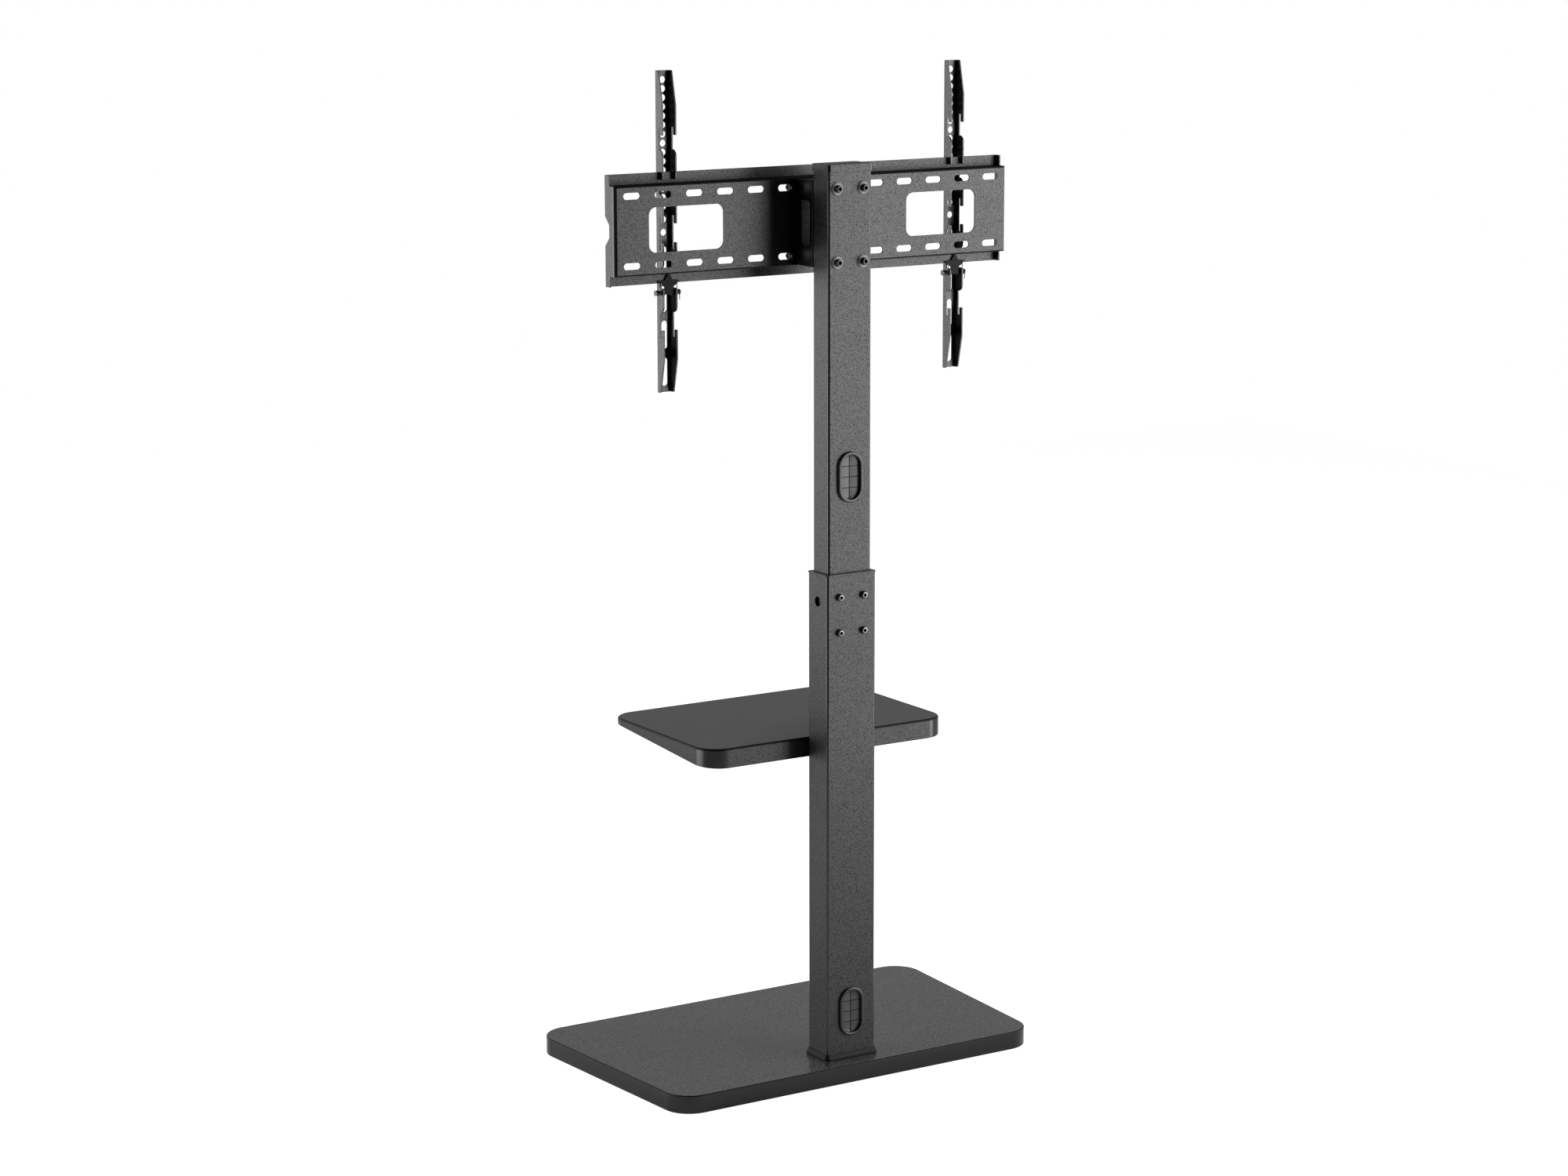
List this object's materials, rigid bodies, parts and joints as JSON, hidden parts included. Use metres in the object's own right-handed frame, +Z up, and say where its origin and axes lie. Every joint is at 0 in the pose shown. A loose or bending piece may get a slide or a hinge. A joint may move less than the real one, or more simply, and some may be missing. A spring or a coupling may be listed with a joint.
{
  "type": "television stand",
  "caption": "Free-standing television stand: telescopic column on a board base, a shelf, and a slotted plate with hook-on arms and latches",
  "frame": {"origin": "on the floor, below the middle of the object's bounding box", "axes": "+Z up along the column, -Y to the television and the front of the base, +X to the side where the arm named left hangs"},
  "size_m": [0.64, 0.373, 1.4161],
  "materials": {
    "base_top": "dark grey laminate with a fine grain, matt",
    "base_edge": "smooth dark edge band, satin",
    "pad_rubber": "matt black rubber",
    "zinc_steel": "zinc-plated steel, satin",
    "black_plastic": "black moulded plastic, satin",
    "black_powder": "black powder coat with a fine texture",
    "shelf_powder": "black powder coat with a fine texture",
    "plate_powder": "black powder coat, fine and slightly grey",
    "arm_powder": "black powder coat, fine",
    "latch_powder": "black paint, satin",
    "black_bolt": "black-oxide steel, satin",
    "flap_rubber": "dark grey rubber, matt",
    "glide_plastic": "off-white plastic, satin",
    "spring_steel": "blackened spring wire"
  },
  "bodies": {
    "stand": {"base_board": "base_top", "base_edge_band": "base_edge", "base_pads": "pad_rubber", "foot_plate": "zinc_steel", "base_bolts": "zinc_steel", "base_bolt_washers": "zinc_steel", "foot_collar": "black_plastic", "lower_column": "black_powder", "column_rim": "black_plastic", "height_bolts": "black_bolt", "height_bolt_inserts": "zinc_steel", "lower_grommet_ring": "black_plastic", "lower_grommet_flaps": "flap_rubber", "shelf_tray": "shelf_powder", "shelf_stiffener": "shelf_powder", "shelf_bracket": "black_powder", "shelf_screws": "black_bolt", "shelf_bracket_bolts": "black_bolt", "shelf_bracket_inserts": "zinc_steel"},
    "mast": {"upper_column": "black_powder", "column_glide": "glide_plastic", "column_cap": "black_plastic", "upper_grommet_ring": "black_plastic", "upper_grommet_flaps": "flap_rubber", "hat_bracket": "plate_powder", "plate_bolts": "black_bolt", "plate_bolt_washers": "black_bolt", "plate_bolt_nuts": "zinc_steel", "mount_plate": "plate_powder", "bracket_screws": "black_bolt", "bracket_screw_nuts": "zinc_steel"},
    "left_arm_body": {"left_arm": "arm_powder", "left_latch_pin": "black_bolt", "left_latch_spring": "spring_steel"},
    "left_latch_body": {"left_latch": "latch_powder"},
    "right_arm_body": {"right_arm": "arm_powder", "right_latch_pin": "black_bolt", "right_latch_spring": "spring_steel"},
    "right_latch_body": {"right_latch": "latch_powder"}
  },
  "joints": [
    {"name": "column_height", "type": "slide", "parent": "stand", "child": "mast", "axis": [0, 0, 1], "range_m": [0, 0.1]},
    {"name": "left_arm_slide", "type": "slide", "parent": "mast", "child": "left_arm_body", "axis": [1, 0, 0], "range_m": [-0.1745, 0.0755]},
    {"name": "right_arm_slide", "type": "slide", "parent": "mast", "child": "right_arm_body", "axis": [1, 0, 0], "range_m": [-0.053, 0.197]},
    {"name": "left_latch_turn", "type": "hinge", "parent": "left_arm_body", "child": "left_latch_body", "pos_m": [0.2245, 0.0422, 1.1175], "axis": [-1, 0, 0], "range_deg": [0, 70], "stiffness_Nm_per_rad": 0.02, "springref_deg": -68.75, "deforming": ["left_latch_spring"]},
    {"name": "right_latch_turn", "type": "hinge", "parent": "right_arm_body", "child": "right_latch_body", "pos_m": [-0.247, 0.0422, 1.1175], "axis": [-1, 0, 0], "range_deg": [0, 70], "stiffness_Nm_per_rad": 0.02, "springref_deg": -68.75, "deforming": ["right_latch_spring"]}
  ]
}
